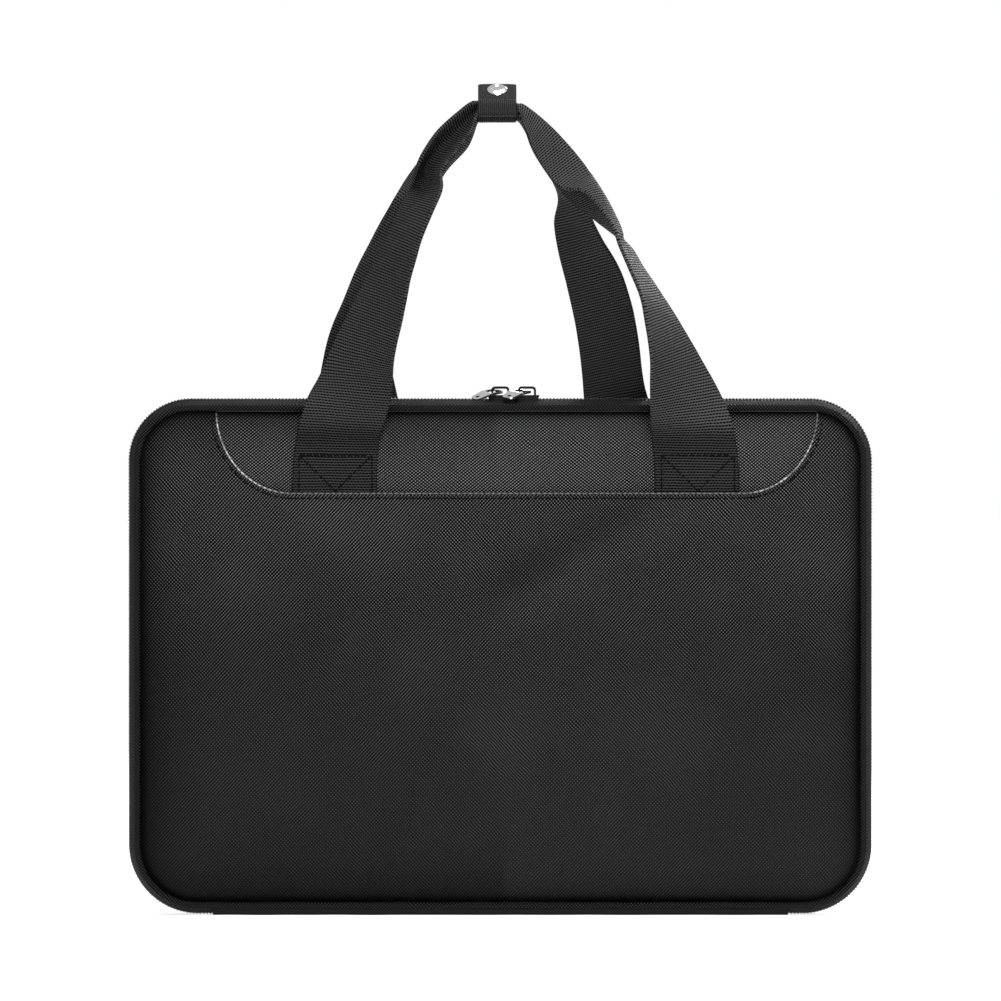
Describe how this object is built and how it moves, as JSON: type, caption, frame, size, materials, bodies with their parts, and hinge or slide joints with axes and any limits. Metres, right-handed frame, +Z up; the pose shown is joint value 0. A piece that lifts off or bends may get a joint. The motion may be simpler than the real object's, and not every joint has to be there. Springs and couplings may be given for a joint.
{
  "type": "portfolio case",
  "caption": "Padded fabric portfolio case standing on its hinge gusset, zipped round the other sides, with scooped front pocket panel and paired webbing handles snapped together.",
  "frame": {"origin": "centre of the base, where the hinge gusset rests, in the mid-plane of the zip", "axes": "+X along the case's width, -Y towards the front with the pocket panel, +Z up"},
  "size_m": [0.341, 0.0655, 0.3809],
  "materials": {
    "panel": "ballistic weave nylon over the padding",
    "foam": "closed-cell foam sheet",
    "board": "stiffener board",
    "lining": "smooth nylon lining",
    "seam_binding": "folded grosgrain binding",
    "piping": "woven cover of the piping",
    "piping_cord": "extruded filler cord",
    "zip_tape": "woven zip tape",
    "zip_coil": "nylon coil teeth",
    "hinge_gusset": "ballistic weave nylon",
    "overlay": "ballistic weave nylon",
    "hem": "turned edge",
    "webbing": "ribbed webbing",
    "keeper": "folded webbing keeper with its tab",
    "snap_metal": "polished cap",
    "pocket_fabric": "smooth nylon",
    "elastic": "woven elastic",
    "end_tab": "folded fabric tabs",
    "stop": "crimped stops",
    "slider": "black enamel",
    "pull": "polished plate"
  },
  "bodies": {
    "rear_cover": {"rear_panel": "panel", "rear_foam": "foam", "rear_board": "board", "rear_lining": "lining", "rear_seam_binding": "seam_binding", "rear_piping": "piping", "rear_piping_cord": "piping_cord", "rear_zip_tape": "zip_tape", "rear_zip_coil": "zip_coil", "rear_hinge_gusset": "hinge_gusset", "rear_overlay_panel": "overlay", "rear_overlay_hem": "hem", "rear_strap_end_left": "webbing", "rear_strap_end_right": "webbing", "corner_elastics": "elastic", "zip_end_tabs": "end_tab", "zip_stops": "stop"},
    "front_cover": {"front_panel": "panel", "front_foam": "foam", "front_board": "board", "front_lining": "lining", "front_seam_binding": "seam_binding", "front_piping": "piping", "front_piping_cord": "piping_cord", "front_zip_tape": "zip_tape", "front_zip_coil": "zip_coil", "front_hinge_gusset": "hinge_gusset", "front_pocket_panel": "overlay", "front_pocket_hem": "hem", "front_strap_end_left": "webbing", "front_strap_end_right": "webbing", "inner_pocket": "pocket_fabric", "inner_pocket_elastic": "elastic"},
    "front_handle": {"front_handle_webbing": "webbing", "front_keeper": "keeper", "snap_cap": "snap_metal", "snap_socket": "snap_metal"},
    "rear_handle": {"rear_handle_webbing": "webbing", "rear_keeper": "keeper", "snap_stud": "snap_metal", "snap_post": "snap_metal"},
    "left_slider": {"left_slider_body": "slider", "left_slider_crown": "slider"},
    "left_pull": {"left_pull": "pull"},
    "right_slider": {"right_slider_body": "slider", "right_slider_crown": "slider"},
    "right_pull": {"right_pull": "pull"}
  },
  "joints": [
    {"name": "cover_hinge", "type": "hinge", "parent": "rear_cover", "child": "front_cover", "pos_m": [0, 0, 0], "axis": [1, 0, 0], "range_deg": [0, 175]},
    {"name": "front_handle_fold", "type": "hinge", "parent": "front_cover", "child": "front_handle", "pos_m": [0, -0.01886, 0.2135], "axis": [1, 0, 0], "range_deg": [0, 140]},
    {"name": "rear_handle_fold", "type": "hinge", "parent": "rear_cover", "child": "rear_handle", "pos_m": [0, 0.01886, 0.2135], "axis": [1, 0, 0], "range_deg": [-140, 0]},
    {"name": "left_slider_run", "type": "slide", "parent": "rear_cover", "child": "left_slider", "axis": [1, 0, 0], "range_m": [-0.133, 0]},
    {"name": "right_slider_run", "type": "slide", "parent": "rear_cover", "child": "right_slider", "axis": [1, 0, 0], "range_m": [0, 0.12]},
    {"name": "left_pull_swing", "type": "hinge", "parent": "left_slider", "child": "left_pull", "pos_m": [-0.0013, 0, 0.2396], "axis": [-0.5791, 0.7934, 0.1873], "range_deg": [0, 125]},
    {"name": "right_pull_swing", "type": "hinge", "parent": "right_slider", "child": "right_pull", "pos_m": [0.0109, 0, 0.2396], "axis": [-0.7934, 0.5888, 0.1545], "range_deg": [0, 115]}
  ]
}
